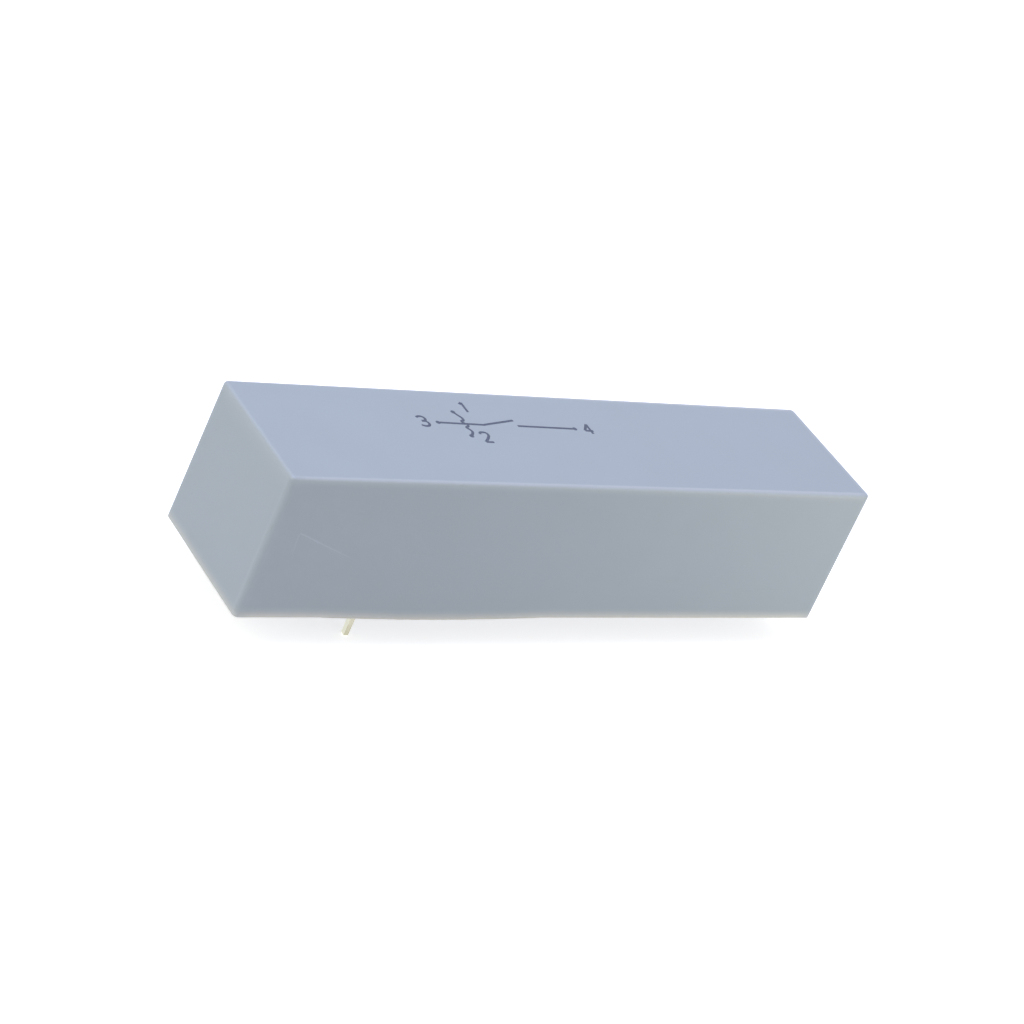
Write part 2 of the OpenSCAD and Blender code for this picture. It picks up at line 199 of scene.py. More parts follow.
# The scratch on the front has two arms: where each starts and how long it is, in millimetres,
# and how steeply it runs down, in radians. SCRATCH_LINE is half its width, where it is whole
# and where it ends.
LONG_ARM = ((-29.85, 0, 12.72), 7.8, 0.392)
SHORT_ARM = ((-29.82, 0, 12.68), 2.6, 1.53)
SHORT_ARM_SHARE = 0.5
SCRATCH_LINE = (0.02 * MM, 0.11 * MM)
SCRATCH_START = 0.15 * MM
SCRATCH_TINT = 0.3


def moulded_pbt():
    """PBT with short glass fibre, injection moulded in a spark-eroded tool: an even pale
    blue-grey with a fine dull grain, faint flow clouds, a painted highlight along the edges,
    which are a little glossier there, a painted reflection of the floor along the rim, and a few
    scratches."""
    made, tree, shader, where = material("moulded_pbt", "#A2ABAA", 0.46, IOR=1.55)
    clouds = add(tree, "TexNoise", {"Vector": where, "Scale": per(6.0), "Detail": 3.0})
    clouded = add(
        tree, "Mix", {0: clouds, 6: linear("#9FA8A7"), 7: linear("#A5AEAD")},
        out=2, data_type="RGBA",
    )
    ragged = add(
        tree, "MapRange",
        {
            "Value": add(tree, "TexNoise", {"Vector": where, "Scale": per(1.4)}),
            "To Min": -PAINTED_LIGHT_RAGGED, "To Max": PAINTED_LIGHT_RAGGED,
        },
    )
    place = add(tree, "SeparateXYZ", {0: where}, out=None)
    ways = ways_to_edges(tree, where)
    share = add(
        tree, "MapRange",
        {
            "Value": ways["X"], "From Min": END_ZONE[0], "From Max": END_ZONE[1],
            "To Min": END_SHARE,
        },
    )
    # Painted highlight: the roof's edges, and faintly the walls round them and the uprights, are
    # mixed towards a paler colour, where light would catch the rounded edges
    highlight_band, painted_highlight_tint = painted_edge_highlights(tree, place["X"], ways, share, ragged)
    highlighted = add(
        tree, "Mix", {0: painted_highlight_tint, 6: clouded, 7: linear("#C3C8C1")}, out=2, data_type="RGBA"
    )
    # Painted reflection: a pale band along the rim's lower edge, as if the rounded rim showed the
    # bright floor
    rim_reflection_tint = painted_rim_reflection(tree, place, share, ragged)
    rim_reflected = add(
        tree, "Mix", {0: rim_reflection_tint, 6: highlighted, 7: linear("#DCD8C6")}, out=2, data_type="RGBA"
    )
    mark = add(
        tree, "Math",
        {
            0: scratch(tree, where, *SHORT_ARM), 1: SHORT_ARM_SHARE,
            2: scratch(tree, where, *LONG_ARM),
        },
        operation="MULTIPLY_ADD",
    )
    mark_tint = add(tree, "Math", {0: mark, 1: SCRATCH_TINT}, operation="MULTIPLY")
    scuffed = add(
        tree, "Mix", {0: mark_tint, 6: rim_reflected, 7: linear("#C3C9CE")}, out=2, data_type="RGBA"
    )

    # The grain of the tool is about 0.06 mm and is drawn at 0.16 mm, so that it shows
    grain = add(
        tree, "TexNoise",
        {"Vector": where, "Scale": per(0.16), "Detail": 3.0, "Roughness": 0.6},
    )
    grained = add(tree, "Bump", {"Height": grain, "Distance": 0.01 * MM})
    haired = add(
        tree, "Bump",
        {"Height": hairlines(tree, where), "Distance": 0.008 * MM, "Normal": grained},
        invert=True,
    )
    scored = add(
        tree, "Bump", {"Height": mark, "Distance": 0.02 * MM, "Normal": haired}, invert=True
    )
    dull = add(
        tree, "MapRange",
        {"Value": clouds, "From Min": 0.3, "From Max": 0.7, "To Min": 0.44, "To Max": 0.5},
    )
    polished = add(
        tree, "Math", {0: highlight_band, 1: -HIGHLIGHT_POLISH, 2: dull}, operation="MULTIPLY_ADD"
    )
    feed(tree, shader, Base_Color=scuffed, Roughness=polished, Normal=scored)
    return made


def ways_to_edges(tree, where):
    """How far a point of the case lies in from the end walls, in from the long walls and below
    the roof, all measured where the walls meet the roof."""
    lean = case_height * math.tan(CASE_DRAFT)
    roof_corner = case_high - Vector((lean, lean, 0))
    folded = add(tree, "VectorMath", {0: where}, operation="ABSOLUTE")
    inward = add(tree, "VectorMath", {0: roof_corner, 1: folded}, operation="SUBTRACT")
    return add(tree, "SeparateXYZ", {0: inward}, out=None)


def painted_edge_highlights(tree, along, ways, share, ragged):
    """The band of painted highlight on the roof's edge, from 0 to 1, and how pale it and the
    edges round it are painted. On the ends the painted highlight is weaker and reaches further
    down."""
    from_end, from_side, from_roof = ways
    to_wall = add(tree, "Math", {0: from_end, 1: from_side}, operation="MINIMUM")
    inset = add(
        tree, "MapRange",
        {
            "Value": along, "From Min": case_low.x, "From Max": case_high.x,
            "To Min": HIGHLIGHT_INSET[0], "To Max": HIGHLIGHT_INSET[1],
        },
    )
    on_roof = add(tree, "Math", {0: to_wall, 1: inset}, operation="SUBTRACT")
    down_wall = add(tree, "Math", {0: from_roof, 1: share}, operation="MULTIPLY")
    off_highlight = add(tree, "Math", {0: on_roof, 1: down_wall}, operation="MAXIMUM")
    highlight_band = add(
        tree, "MapRange",
        {
            "Value": add(tree, "Math", {0: off_highlight, 1: ragged}, operation="ADD"),
            "From Min": HIGHLIGHT_ZONE[0], "From Max": HIGHLIGHT_ZONE[1], "To Min": 1.0, "To Max": 0.0,
        },
        interpolation_type="SMOOTHSTEP",
    )
    highlight_here = add(tree, "Math", {0: highlight_band, 1: share}, operation="MULTIPLY")
    roof_edge_highlight = add(tree, "Math", {0: highlight_here, 1: HIGHLIGHT_TINT}, operation="MULTIPLY")

    roof_way = add(tree, "Math", {0: to_wall, 1: FADE_SHORTER_ON_ROOF}, operation="MULTIPLY")
    fading = add(
        tree, "MapRange",
        {
            "Value": add(tree, "Math", {0: roof_way, 1: down_wall}, operation="MAXIMUM"),
            "From Min": 0.0, "From Max": FADE_REACH, "To Min": 1.0, "To Max": 0.0,
        },
    )
    faded = add(tree, "Math", {0: fading, 1: FADE_CURVE}, operation="POWER")
    fade_here = add(tree, "Math", {0: faded, 1: share}, operation="MULTIPLY")
    fade_tint = add(tree, "Math", {0: fade_here, 1: FADE_TINT}, operation="MULTIPLY")

    to_upright = add(tree, "Math", {0: from_end, 1: from_side}, operation="MAXIMUM")
    upright_tint = add(
        tree, "MapRange",
        {
            "Value": add(tree, "Math", {0: to_upright, 1: ragged}, operation="ADD"),
            "From Min": UPRIGHT_ZONE[0], "From Max": UPRIGHT_ZONE[1],
            "To Min": UPRIGHT_TINT, "To Max": 0.0,
        },
        interpolation_type="SMOOTHSTEP",
    )
    roof_tint = add(tree, "Math", {0: roof_edge_highlight, 1: fade_tint}, operation="MAXIMUM")
    return highlight_band, add(tree, "Math", {0: roof_tint, 1: upright_tint}, operation="MAXIMUM")


def painted_rim_reflection(tree, place, share, ragged):
    """How pale the painted reflection along the rim is. On the front it dips with the flash."""
    along = add(
        tree, "MapRange",
        {
            "Value": place["X"], "From Min": FLASH_MIDDLE - FLASH_REACH,
            "From Max": FLASH_MIDDLE + FLASH_REACH, "To Min": -1.0, "To Max": 1.0,
        },
    )
    off_middle = add(tree, "Math", {0: along, 1: along}, operation="MULTIPLY")
    dip = add(tree, "MapRange", {"Value": off_middle, "To Min": FLASH_DROP, "To Max": 0.0})
    on_front = add(tree, "Math", {0: place["Y"], 1: 0.0}, operation="LESS_THAN")
    above_rim_edge = add(
        tree, "Math", {0: dip, 1: on_front, 2: place["Z"]}, operation="MULTIPLY_ADD"
    )
    near_rim = add(
        tree, "MapRange",
        {
            "Value": add(tree, "Math", {0: above_rim_edge, 1: ragged}, operation="ADD"),
            "From Min": case_low.z, "From Max": case_low.z + RIM_REFLECTION_REACH,
            "To Min": 1.0, "To Max": 0.0,
        },
    )
    rim_reflection = add(tree, "Math", {0: near_rim, 1: RIM_REFLECTION_CURVE}, operation="POWER")
    reflection_share = add(
        tree, "Math", {0: share, 1: 1 - RIM_REFLECTION_KEPT, 2: RIM_REFLECTION_KEPT}, operation="MULTIPLY_ADD"
    )
    return add(tree, "Math", {0: rim_reflection, 1: reflection_share}, operation="MULTIPLY")


def scratch(tree, where, start_mm, length_mm, slope):
    """One arm of a handling scratch on the front wall: 0 off it and 1 where it is deepest."""
    length = length_mm * MM
    on_arm = add(
        tree, "Mapping",
        {"Vector": where, "Location": Vector(start_mm) * MM, "Rotation": (0, slope, 0)},
        vector_type="TEXTURE",
    )
    along, depth, aside = add(tree, "SeparateXYZ", {0: on_arm}, out=None)
    line = add(
        tree, "MapRange",
        {
            "Value": add(tree, "Math", {0: aside}, operation="ABSOLUTE"),
            "From Min": SCRATCH_LINE[0], "From Max": SCRATCH_LINE[1],
            "To Min": 1.0, "To Max": 0.0,
        },
        interpolation_type="SMOOTHSTEP",
    )
    starts = add(
        tree, "MapRange", {"Value": along, "From Min": 0.0, "From Max": SCRATCH_START},
        interpolation_type="SMOOTHSTEP",
    )
    fades = add(
        tree, "MapRange",
        {
            "Value": along, "From Min": length / 2, "From Max": length,
            "To Min": 1.0, "To Max": 0.0,
        },
        interpolation_type="SMOOTHSTEP",
    )
    on_front = add(tree, "Math", {0: depth, 1: 0.0}, operation="LESS_THAN")
    ends = add(tree, "Math", {0: starts, 1: fades}, operation="MULTIPLY")
    drawn = add(tree, "Math", {0: line, 1: ends}, operation="MULTIPLY")
    return add(tree, "Math", {0: drawn, 1: on_front}, operation="MULTIPLY")


def hairlines(tree, where):
    """Fine scuffs: a noise drawn out along one slant, of which only the crests are kept."""
    slanted = add(
        tree, "Mapping", {"Vector": where, "Rotation": (0.5, 0.6, 0.4), "Scale": (0.05, 1, 1)}
    )
    return add(
        tree, "MapRange",
        {
            "Value": add(tree, "TexNoise", {"Vector": slanted, "Scale": per(0.6), "Detail": 1.0}),
            "From Min": 0.7, "From Max": 0.76,
        },
        interpolation_type="SMOOTHSTEP",
    )


def cast_epoxy():
    """Two-part epoxy resin, poured and cured in the open: a grey a shade deeper than the case,
    smooth and glossier, with cloudy tint, slow waves from shrinkage and pin bubbles."""
    made, tree, shader, where = material("cast_epoxy", "#868E9A", 0.3, IOR=1.5)
    clouds = add(tree, "TexNoise", {"Vector": where, "Scale": per(4.0), "Detail": 3.0})
    tinted = add(
        tree, "Mix", {0: clouds, 6: linear("#7D8591"), 7: linear("#8D95A1")},
        out=2, data_type="RGBA",
    )
    bubbles = add(tree, "TexVoronoi", {"Vector": where, "Scale": per(1.1)})
    pits = add(
        tree, "MapRange", {"Value": bubbles, "From Min": 0.06, "From Max": 0.16},
        interpolation_type="SMOOTHSTEP",
    )
    waves = add(tree, "TexNoise", {"Vector": where, "Scale": per(5.0)})
    waved = add(tree, "Bump", {"Height": waves, "Distance": 0.2 * MM})
    pitted = add(tree, "Bump", {"Height": pits, "Distance": 0.04 * MM, "Normal": waved})
    shine = add(
        tree, "MapRange",
        {
            "Value": add(tree, "TexNoise", {"Vector": where, "Scale": per(2.0)}),
            "From Min": 0.3, "From Max": 0.7, "To Min": 0.2, "To Max": 0.34,
        },
    )
    feed(tree, shader, Base_Color=tinted, Roughness=shine, Normal=pitted)
    return made


def glass_filled_nylon():
    """Black nylon with glass fibre, moulded: near-black and dull, with short paler streaks where
    fibres lie at the skin."""
    made, tree, shader, where = material("glass_filled_nylon", "#232427", 0.55, IOR=1.53)
    drawn_out = add(tree, "Mapping", {"Vector": where, "Scale": (0.25, 1, 1)})
    fibres = add(
        tree, "TexNoise",
        {"Vector": drawn_out, "Scale": per(0.35), "Detail": 4.0, "Roughness": 0.7},
    )
    at_skin = add(
        tree, "MapRange", {"Value": fibres, "From Min": 0.55, "From Max": 0.75},
        interpolation_type="SMOOTHSTEP",
    )
    streaked = add(
        tree, "Mix", {0: at_skin, 6: linear("#1F2023"), 7: linear("#34363A")},
        out=2, data_type="RGBA",
    )
    grain = add(tree, "TexNoise", {"Vector": where, "Scale": per(0.2), "Detail": 3.0})
    grained = add(tree, "Bump", {"Height": grain, "Distance": 0.015 * MM})
    feed(tree, shader, Base_Color=streaked, Normal=grained)
    return made


def enamelled_copper():
    """Copper wire under clear polyester enamel, wound in close turns: warm metal with a hard
    gloss over it, each turn a touch lighter or darker than the next."""
    made, tree, shader, where = material(
        "enamelled_copper", "#B4632F", 0.28, Metallic=1.0, Coat_Weight=0.6, Coat_Roughness=0.12
    )
    by_turn = add(tree, "Mapping", {"Vector": where, "Scale": (1, 0.06, 0.06)})
    tones = add(tree, "TexNoise", {"Vector": by_turn, "Scale": per(0.5), "Detail": 2.0})
    toned = add(
        tree, "Mix", {0: tones, 6: linear("#A05223"), 7: linear("#C8743F")},
        out=2, data_type="RGBA",
    )
    dents = add(tree, "TexNoise", {"Vector": where, "Scale": per(0.8)})
    dented = add(tree, "Bump", {"Height": dents, "Distance": 0.02 * MM})
    feed(tree, shader, Base_Color=toned, Normal=dented)
    return made


def polyester_tape():
    """Amber polyester film with its adhesive: glossy, slightly see-through, and pulled so tight
    that the turns below print through as faint ribs."""
    made, tree, shader, where = material(
        "polyester_tape", "#C99A2E", 0.2, IOR=1.64, Transmission_Weight=0.35, Coat_Weight=0.3
    )
    ribs = add(
        tree, "TexWave",
        {"Vector": where, "Scale": per(TURN_PITCH) / WAVE_REPEAT, "Distortion": 0.3},
        out="Fac", bands_direction="X",
    )
    creases = add(tree, "TexNoise", {"Vector": where, "Scale": per(3.0), "Detail": 4.0})
    toned = add(
        tree, "Mix", {0: creases, 6: linear("#BE8C24"), 7: linear("#D6A83C")},
        out=2, data_type="RGBA",
    )
    creased = add(tree, "Bump", {"Height": creases, "Distance": 0.08 * MM})
    ribbed = add(tree, "Bump", {"Height": ribs, "Distance": 0.01 * MM, "Normal": creased})
    feed(tree, shader, Base_Color=toned, Normal=ribbed)
    return made


def tinned_wire():
    """Square copper-alloy wire, tinned: warm ivory metal with faint lines along its length and a
    soft bloom, with painted light on the sides facing ±X and painted shade, darker, on the sides
    facing ±Y."""
    made, tree, shader, where = material("tinned_wire", "#E2DCC7", 0.42, Metallic=1.0)
    drawn_out = add(tree, "Mapping", {"Vector": where, "Scale": (1, 1, 0.04)})
    lines = add(tree, "TexNoise", {"Vector": drawn_out, "Scale": per(0.06)})
    bloom = add(tree, "TexNoise", {"Vector": where, "Scale": per(0.9), "Detail": 3.0})
    # Painted light and shade: a lighter copy of the metal for the sides facing ±X and the ends, a
    # darker copy for the sides facing ±Y, picked by the facing below
    lit_sides = add(
        tree, "Mix", {0: bloom, 6: linear("#F2F2DC"), 7: linear("#FCFCEC")},
        out=2, data_type="RGBA",
    )
    shaded_sides = add(
        tree, "Mix", {0: bloom, 6: linear("#C8C4AB"), 7: linear("#D6D2BA")},
        out=2, data_type="RGBA",
    )
    facing = add(tree, "SeparateXYZ", {0: add(tree, "TexCoord", {}, out="Normal")}, out=1)
    on_shaded_side = add(
        tree, "MapRange",
        {
            "Value": add(tree, "Math", {0: facing}, operation="ABSOLUTE"),
            "From Min": 0.4, "From Max": 0.9,
        },
        interpolation_type="SMOOTHSTEP",
    )
    toned = add(tree, "Mix", {0: on_shaded_side, 6: lit_sides, 7: shaded_sides}, out=2, data_type="RGBA")
    dull = add(
        tree, "MapRange",
        {"Value": bloom, "From Min": 0.3, "From Max": 0.7, "To Min": 0.36, "To Max": 0.5},
    )
    lined = add(tree, "Bump", {"Height": lines, "Distance": 0.01 * MM})
    feed(tree, shader, Base_Color=toned, Roughness=dull, Normal=lined)
    return made


def tin_solder():
    """Tin solder, hand soldered: bright silver-grey, frosted by fine crystals as it set."""
    made, tree, shader, where = material("tin_solder", "#B9BCBD", 0.3, Metallic=1.0)
    crystals = add(tree, "TexVoronoi", {"Vector": where, "Scale": per(0.18)})
    toned = add(
        tree, "Mix", {0: crystals, 6: linear("#C8CBCC"), 7: linear("#A2A6A8")},
        out=2, data_type="RGBA",
    )
    frosted = add(
        tree, "MapRange",
        {"Value": crystals, "From Min": 0.2, "From Max": 0.8, "To Min": 0.24, "To Max": 0.42},
    )
    lumps = add(tree, "TexNoise", {"Vector": where, "Scale": per(0.5)})
    lumpy = add(tree, "Bump", {"Height": lumps, "Distance": 0.06 * MM})
    frosty = add(tree, "Bump", {"Height": crystals, "Distance": 0.01 * MM, "Normal": lumpy})
    feed(tree, shader, Base_Color=toned, Roughness=frosted, Normal=frosty)
    return made


def green_reed_glass():
    """Iron-bearing sealing glass, drawn as tube and fused at its ends: clear, clean and faintly
    green, with slight draw lines along the tube."""
    made, tree, shader, where = material(
        "green_reed_glass", "#D8EDE0", 0.02, IOR=1.52, Transmission_Weight=1.0
    )
    tint = add(tree, "TexNoise", {"Vector": where, "Scale": per(3.0)})
    toned = add(
        tree, "Mix", {0: tint, 6: linear("#D2EADB"), 7: linear("#DFF1E6")},
        out=2, data_type="RGBA",
    )
    drawn_out = add(tree, "Mapping", {"Vector": where, "Scale": (0.05, 1, 1)})
    lines = add(tree, "TexNoise", {"Vector": drawn_out, "Scale": per(0.8)})
    lined = add(tree, "Bump", {"Height": lines, "Distance": 0.02 * MM})
    feed(tree, shader, Base_Color=toned, Normal=lined)
    return made


def silicone_rubber():
    """Translucent white silicone rubber, moulded: milky and soft, with a waxy sheen."""
    made, tree, shader, where = material(
        "silicone_rubber", "#DAD6CC", 0.5,
        IOR=1.41, Subsurface_Weight=0.4, Subsurface_Scale=0.8 * MM,
    )
    milk = add(tree, "TexNoise", {"Vector": where, "Scale": per(1.6)})
    milky = add(
        tree, "Mix", {0: milk, 6: linear("#D2CDC2"), 7: linear("#E2DFD6")},
        out=2, data_type="RGBA",
    )
    skin = add(tree, "TexNoise", {"Vector": where, "Scale": per(0.3)})
    skinned = add(tree, "Bump", {"Height": skin, "Distance": 0.01 * MM})
    feed(tree, shader, Base_Color=milky, Normal=skinned)
    return made


def nickel_iron():
    """Nickel-iron reed wire, its blades pressed flat: satin grey metal with rolling lines."""
    made, tree, shader, where = material("nickel_iron", "#B3AFA8", 0.3, Metallic=1.0)
    drawn_out = add(tree, "Mapping", {"Vector": where, "Scale": (0.04, 1, 1)})
    lines = add(tree, "TexNoise", {"Vector": drawn_out, "Scale": per(0.09), "Detail": 3.0})
    toned = add(
        tree, "Mix", {0: lines, 6: linear("#A9A49D"), 7: linear("#BCB8B1")},
        out=2, data_type="RGBA",
    )
    satin = add(
        tree, "MapRange",
        {"Value": lines, "From Min": 0.3, "From Max": 0.7, "To Min": 0.24, "To Max": 0.36},
    )
    lined = add(tree, "Bump", {"Height": lines, "Distance": 0.006 * MM})
    feed(tree, shader, Base_Color=toned, Roughness=satin, Normal=lined)
    return made


def rhodium_plate():
    """Hard white rhodium, plated over the reed's tip: a bright cold mirror, a little cloudy."""
    made, tree, shader, where = material("rhodium_plate", "#D6D9DC", 0.12, Metallic=1.0)
    cloud = add(tree, "TexNoise", {"Vector": where, "Scale": per(0.4), "Detail": 3.0})
    toned = add(
        tree, "Mix", {0: cloud, 6: linear("#CDD0D4"), 7: linear("#DEE1E4")},
        out=2, data_type="RGBA",
    )
    hazed = add(
        tree, "MapRange",
        {"Value": cloud, "From Min": 0.3, "From Max": 0.7, "To Min": 0.08, "To Max": 0.18},
    )
    pebbled = add(tree, "Bump", {"Height": cloud, "Distance": 0.003 * MM})
    feed(tree, shader, Base_Color=toned, Roughness=hazed, Normal=pebbled)
    return made


def marking_ink():
    """Pad-printed ink: thin dark slate, matt, and a little uneven where it took poorly."""
    made, tree, shader, where = material("marking_ink", "#485060", 0.6, IOR=1.5)
    patches = add(
        tree, "TexNoise",
        {"Vector": where, "Scale": per(0.25), "Detail": 3.0, "Roughness": 0.6},
    )
    patchy = add(
        tree, "Mix", {0: patches, 6: linear("#3D4552"), 7: linear("#626B78")},
        out=2, data_type="RGBA",
    )
    uneven = add(tree, "Bump", {"Height": patches, "Distance": 0.004 * MM})
    feed(tree, shader, Base_Color=patchy, Normal=uneven)
    return made


case_finish = moulded_pbt()
resin_finish = cast_epoxy()
copper_finish = enamelled_copper()
finish_in(case_finish, "case")
finish_in(resin_finish, "potting_resin")
finish_in(glass_filled_nylon(), "coil_former")
finish_in(copper_finish, "coil_winding", "coil_lead_front", "coil_lead_back")
finish_in(polyester_tape(), "coil_tape")
finish_in(
    tinned_wire(), "coil_terminal_front", "coil_terminal_back",
    "contact_terminal_left", "contact_terminal_right",
)
finish_in(
    tin_solder(), "coil_solder_front", "coil_solder_back",
    "contact_solder_left", "contact_solder_right",
)
finish_in(green_reed_glass(), "capsule_glass")
finish_in(silicone_rubber(), "capsule_bush_left", "capsule_bush_right")
finish_in(
    nickel_iron(), "reed_stem_left", "reed_stem_right", "reed_blade_left", "reed_blade_right"
)
finish_in(rhodium_plate(), "contact_plate_left", "contact_plate_right")


# Ink on the roof: the circuit symbol of a coil and a normally open contact, with plain
# terminal numbers. Points are millimetres from the roof's middle, +x right and +y back.

LINE = 0.28
DOT = 0.5
INK_HEIGHT = 0.006
CONTACT_STROKES = [
    [(-12.84, 2.06), (-7.85, 1.98), (-4.05, 2.9)],
    [(-4.0, 2.04), (2.52, 1.98)],
]
COIL_STROKE = [
    (-10.25, 3.82), (-9.99, 3.34), (-9.74, 2.9), (-9.79, 2.56), (-10.08, 2.38), (-9.92, 2.1),
    (-9.69, 1.88), (-9.8, 1.62), (-10.04, 1.45), (-9.87, 1.16), (-9.75, 0.84), (-9.86, 0.56),
    (-10.21, 0.16),
]
DOTS = [(-12.84, 2.06), (-10.25, 3.82), (-10.21, 0.14), (2.52, 1.98)]
DIGIT_HEIGHT = 1.5
ROUND_DIGITS = {
    2: [[(0, 0.8), (0.1, 0.95), (0.3, 1), (0.52, 0.93), (0.58, 0.72), (0.45, 0.48), (0, 0)]],
    3: [
        [(0, 0.9), (0.3, 1), (0.56, 0.88), (0.52, 0.6), (0.24, 0.53)],
        [(0.24, 0.53), (0.58, 0.44), (0.6, 0.14), (0.3, 0), (0, 0.1)],
    ],
}
STRAIGHT_DIGITS = {
    1: [[(0.1, 0.8), (0.32, 1)], [(0.32, 1), (0.32, 0)]],
    2: [[(0, 0), (0.6, 0)]],
    4: [[(0.46, 0), (0.46, 1)], [(0.46, 1), (0, 0.32)], [(0, 0.32), (0.64, 0.32)]],
}
DIGIT_PLACES = {1: (-9.0, 3.9), 2: (-9.1, -0.7), 3: (-14.9, 1.4), 4: (3.6, 1.3)}


def ink(name, straight, smooth, dots=()):
    """Thin raised strokes on the roof, some with corners and some smooth, and round dots."""
    curve = bpy.data.curves.new(name, "CURVE")
    curve.dimensions = "3D"
    curve.bevel_depth = LINE / 2
    curve.bevel_resolution = 2
    curve.use_fill_caps = True
    curve.resolution_u = 8
    for handle, strokes in (("VECTOR", straight), ("AUTO", smooth)):
        for points in strokes:
            spline = curve.splines.new("BEZIER")
            spline.bezier_points.add(len(points) - 1)
            for place, point in zip(spline.bezier_points, points):
                place.co = (*point, 0)
                place.handle_left_type = place.handle_right_type = handle
    drawn = bpy.data.objects.new(name, curve)
    shape = bmesh.new()
    shape.from_mesh(drawn.to_mesh())
    drawn.to_mesh_clear()
    bpy.data.objects.remove(drawn)
    for x, y in dots:
        bmesh.ops.create_uvsphere(
            shape, u_segments=16, v_segments=8, radius=DOT / 2,
            matrix=Matrix.Translation((x, y, 0)) @ Matrix.Diagonal((1, 1, LINE / DOT, 1)),
        )
    on_roof = Matrix.Translation((0, 0, case_high.z))
    flatten = Matrix.Diagonal((MM, MM, MM * INK_HEIGHT / (LINE / 2), 1))
    bmesh.ops.transform(shape, matrix=on_roof @ flatten, verts=shape.verts)
    return piece(name, shape, ink_finish)


def digit_strokes(digits):
    """The strokes of these digits, each at its place by the symbol."""
    return [
        [
            (DIGIT_PLACES[digit][0] + u * DIGIT_HEIGHT, DIGIT_PLACES[digit][1] + v * DIGIT_HEIGHT)
            for u, v in stroke
        ]
        for digit, strokes in digits.items()
        for stroke in strokes
    ]


ink_finish = marking_ink()
ink("roof_symbol", CONTACT_STROKES, [COIL_STROKE], DOTS)
ink("terminal_numbers", digit_strokes(STRAIGHT_DIGITS), digit_strokes(ROUND_DIGITS))


# The resin's poured face, which closes the underside. It lies FACE_COVER below the face of the
# CAD piece, and goes FACE_DEPTH up into it.

FACE_CELL = 0.2 * MM
FACE_COVER = 0.1 * MM
FACE_DEPTH = 0.6 * MM
WAVE_LENGTH = 7.0 * MM
WAVE_HEIGHT = 0.05 * MM
BUBBLES = 26
BUBBLE_MARGIN = 2.0 * MM
BUBBLE_SEED = 11
BUBBLE_RADII = (0.35 * MM, 0.9 * MM)
BUBBLE_RISES = (-0.09 * MM, 0.06 * MM, 0.08 * MM)
LEVEL_ENOUGH = 0.2


def standing_place(name):
    """Where a terminal goes through the resin, as x and y."""
    low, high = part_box(name)
    x = high.x - WIRE_HALF if high.x < 0 else low.x + WIRE_HALF
    return Vector((x, (low.y + high.y) / 2))


def bubbles_within(half_l, half_w):
    """Middle, radius and rise of each bubble. One that burst rises into the resin as a pit, and
    one that set as a dome hangs below the face, with a rise below 0."""
    chance = random.Random(BUBBLE_SEED)
    return [
        (
            Vector((
                chance.uniform(BUBBLE_MARGIN - half_l, half_l - BUBBLE_MARGIN),
                chance.uniform(BUBBLE_MARGIN - half_w, half_w - BUBBLE_MARGIN),
            )),
            chance.uniform(*BUBBLE_RADII),
            chance.choice(BUBBLE_RISES),
        )
        for _ in range(BUBBLES)
    ]


def poured_face():
    """A skin over the resin's face, with the hollow curve that climbs the walls and terminals,
    slow waves, and bubbles that set as low domes or burst as shallow pits."""
    half_l, half_w = case_high.x - CASE_WALL, case_high.y - CASE_WALL
    wires = [
        standing_place(name)
        for name in (
            "coil_terminal_front", "coil_terminal_back",
            "contact_terminal_left", "contact_terminal_right",
        )
    ]
    bubbles = bubbles_within(half_l, half_w)
    shape = bmesh.new()
    bmesh.ops.create_grid(
        shape, size=1, matrix=Matrix.Diagonal((half_l, half_w, 1, 1)),
        x_segments=round(2 * half_l / FACE_CELL), y_segments=round(2 * half_w / FACE_CELL),
    )
    for point in shape.verts:
        place = point.co.xy
        wall_way = min(half_l - abs(place.x), half_w - abs(place.y)) / MENISCUS_WIDTH
        wire_way = (
            min((place - wire).length for wire in wires) - WIRE_HALF
        ) / WIRE_MENISCUS
        open_way = min(max(min(wall_way, wire_way), 0), 1)
        hollow = math.sqrt(1 - (1 - open_way) ** 2)
        waves = WAVE_HEIGHT * field.noise(Vector((place.x, place.y, 0)) / WAVE_LENGTH)
        relief = sum(
            rise * (1 - ((place - middle).length / radius) ** 2) ** 2
            for middle, radius, rise in bubbles
            if (place - middle).length < radius
        )
        point.co.z = (
            case_low.z + RESIN_LIP / 2
            + hollow * (RESIN_RECESS - RESIN_LIP / 2 - FACE_COVER + waves + relief)
        )
    skin = bmesh.ops.extrude_face_region(shape, geom=shape.faces[:])["geom"]
    for part in skin:
        if isinstance(part, bmesh.types.BMVert):
            part.co.z = case_low.z + RESIN_RECESS + FACE_DEPTH
    bmesh.ops.recalc_face_normals(shape, faces=shape.faces)
    for face in shape.faces:
        face.smooth = abs(face.normal.z) > LEVEL_ENOUGH
    return piece("poured_face", shape, resin_finish)


poured_face()


# Marks of the moulding: the gate scar on the right end, where the runner broke off, and the flash
# under the front rim, a thin fin that got out between the halves of the mould

SCAR_PROFILE = [
    (-0.1, 0.0), (-0.1, 0.85), (0.02, 0.85), (0.045, 0.78), (0.045, 0.66), (0.015, 0.58),
    (0.015, 0.36), (0.05, 0.26), (0.065, 0.12), (0.05, 0.0),
]
SCAR_LEVEL = 0.6
FLASH_THICKNESS = 0.3 * MM
FLASH_RAGGED = 0.03 * MM
FLASH_SPOT = 0.9 * MM
FLASH_ROOT = 0.1 * MM
FLASH_END = 0.01 * MM
FLASH_CELLS = (80, 3)


def gate_scar():
    """A shallow broken ring, SCAR_LEVEL up the end wall. Its profile is in millimetres, out of
    the wall and across it."""
    above_rim = SCAR_LEVEL * case_height
    foot = Vector((case_high.x - above_rim * math.tan(CASE_DRAFT), 0, case_low.z + above_rim))
    profile = [(foot.x + out * MM, across * MM) for out, across in SCAR_PROFILE]
    return piece("gate_scar", turned(profile, foot), case_finish)


